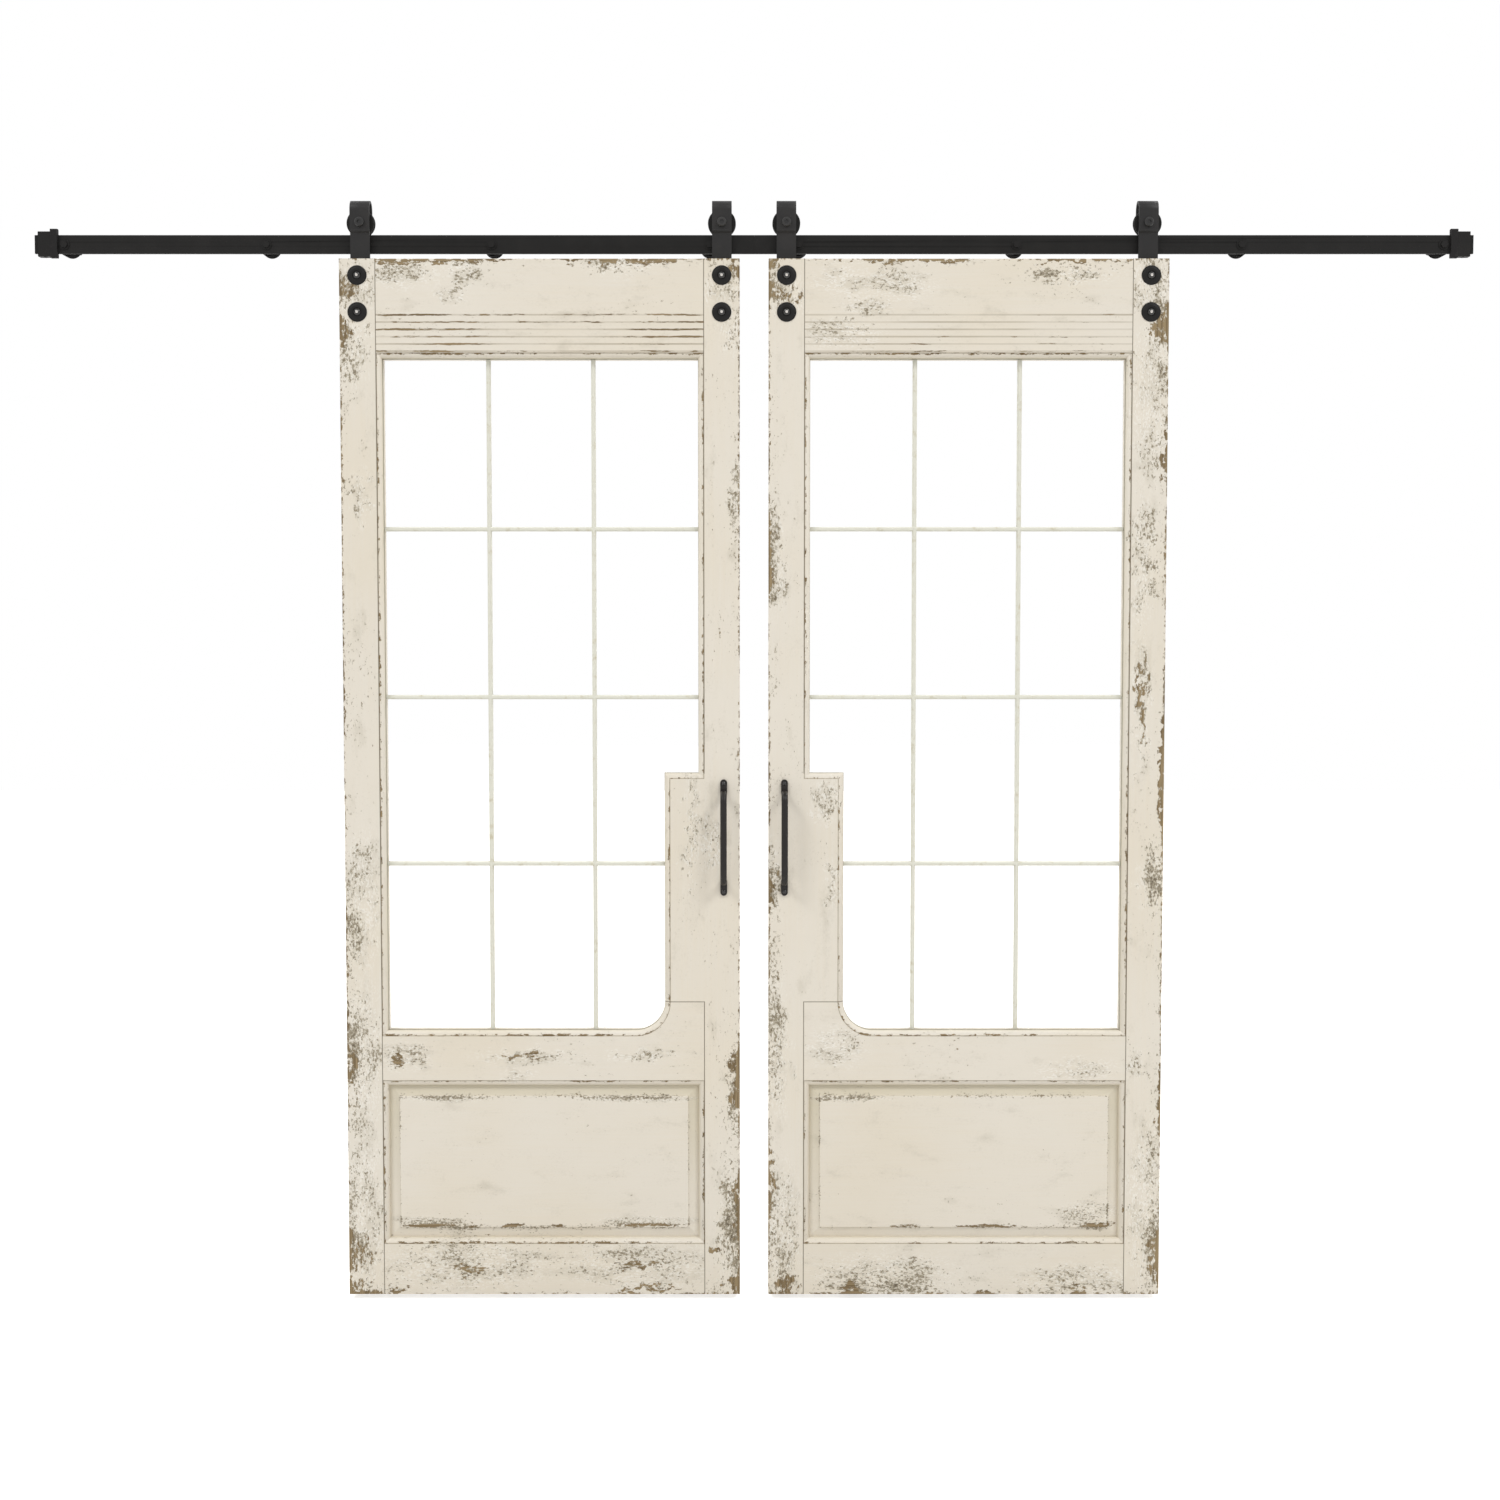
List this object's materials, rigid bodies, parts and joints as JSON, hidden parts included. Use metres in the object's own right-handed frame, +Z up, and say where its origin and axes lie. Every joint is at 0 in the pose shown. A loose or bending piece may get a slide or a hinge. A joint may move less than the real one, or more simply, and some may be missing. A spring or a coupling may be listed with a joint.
{
  "type": "pair of sliding barn doors",
  "caption": "Pair of cream painted timber doors with glazed upper lights and raised lower panels, hung on black steel strap hangers that roll along a flat wall rail.",
  "frame": {"origin": "on the wall plane, at the middle of the rail's length and at the rail's mid height", "axes": "+X along the rail to the right as seen from the room, +Y from the room into the wall, +Z up"},
  "size_m": [2.95, 0.2087, 2.2593],
  "materials": {
    "painted_wood": "cream paint, rubbed through along the edges",
    "clear_glass": "clear",
    "black_steel": "satin black powder coat",
    "black_rubber": "matt",
    "bearing_steel": "ground"
  },
  "bodies": {
    "frame": {"left_rail_half": "black_steel", "right_rail_half": "black_steel", "rail_spacers": "black_steel", "lag_bolts": "black_steel", "left_stop_block": "black_steel", "right_stop_block": "black_steel", "left_stop_bumper": "black_rubber", "right_stop_bumper": "black_rubber", "stop_screws": "black_steel"},
    "left_door": {"left_outer_stile": "painted_wood", "left_meeting_stile": "painted_wood", "left_top_rail": "painted_wood", "left_lock_rail": "painted_wood", "left_bottom_rail": "painted_wood", "left_raised_panel": "painted_wood", "left_glass_pane": "clear_glass", "left_front_glazing_bars": "painted_wood", "left_back_glazing_bars": "painted_wood", "left_glazing_beads": "painted_wood", "left_pull_handle": "black_steel", "left_handle_screws": "black_steel", "left_outer_hanger_strap": "black_steel", "left_inner_hanger_strap": "black_steel", "left_hanger_bolts": "black_steel", "left_hanger_washers": "black_steel", "left_hanger_nuts": "black_steel", "left_axle_bolts": "black_steel", "left_axle_nuts": "black_steel", "left_axle_washers": "bearing_steel"},
    "left_outer_roller": {"left_outer_wheel": "black_steel", "left_outer_wheel_bearing": "bearing_steel"},
    "left_inner_roller": {"left_inner_wheel": "black_steel", "left_inner_wheel_bearing": "bearing_steel"},
    "right_door": {"right_outer_stile": "painted_wood", "right_meeting_stile": "painted_wood", "right_top_rail": "painted_wood", "right_lock_rail": "painted_wood", "right_bottom_rail": "painted_wood", "right_raised_panel": "painted_wood", "right_glass_pane": "clear_glass", "right_front_glazing_bars": "painted_wood", "right_back_glazing_bars": "painted_wood", "right_glazing_beads": "painted_wood", "right_pull_handle": "black_steel", "right_handle_screws": "black_steel", "right_outer_hanger_strap": "black_steel", "right_inner_hanger_strap": "black_steel", "right_hanger_bolts": "black_steel", "right_hanger_washers": "black_steel", "right_hanger_nuts": "black_steel", "right_axle_bolts": "black_steel", "right_axle_nuts": "black_steel", "right_axle_washers": "bearing_steel"},
    "right_outer_roller": {"right_outer_wheel": "black_steel", "right_outer_wheel_bearing": "bearing_steel"},
    "right_inner_roller": {"right_inner_wheel": "black_steel", "right_inner_wheel_bearing": "bearing_steel"}
  },
  "joints": [
    {"name": "left_door_slide", "type": "slide", "parent": "frame", "child": "left_door", "axis": [1, 0, 0], "range_m": [-0.5945, 0.029]},
    {"name": "left_outer_roller_turn", "type": "hinge", "parent": "left_door", "child": "left_outer_roller", "pos_m": [-0.806, -0.053, 0.0423], "axis": [0, 1, 0], "range_deg": [-1482, 73]},
    {"name": "left_inner_roller_turn", "type": "hinge", "parent": "left_door", "child": "left_inner_roller", "pos_m": [-0.066, -0.053, 0.0423], "axis": [0, 1, 0], "range_deg": [-1482, 73]},
    {"name": "right_door_slide", "type": "slide", "parent": "frame", "child": "right_door", "axis": [1, 0, 0], "range_m": [-0.029, 0.5945]},
    {"name": "right_outer_roller_turn", "type": "hinge", "parent": "right_door", "child": "right_outer_roller", "pos_m": [0.806, -0.053, 0.0423], "axis": [0, 1, 0], "range_deg": [-73, 1482]},
    {"name": "right_inner_roller_turn", "type": "hinge", "parent": "right_door", "child": "right_inner_roller", "pos_m": [0.066, -0.053, 0.0423], "axis": [0, 1, 0], "range_deg": [-73, 1482]}
  ],
  "couplings": [
    {"joint": "left_outer_roller_turn", "follows": "left_door_slide", "rad_per_m": 43.478},
    {"joint": "left_inner_roller_turn", "follows": "left_door_slide", "rad_per_m": 43.478},
    {"joint": "right_outer_roller_turn", "follows": "right_door_slide", "rad_per_m": 43.478},
    {"joint": "right_inner_roller_turn", "follows": "right_door_slide", "rad_per_m": 43.478}
  ]
}
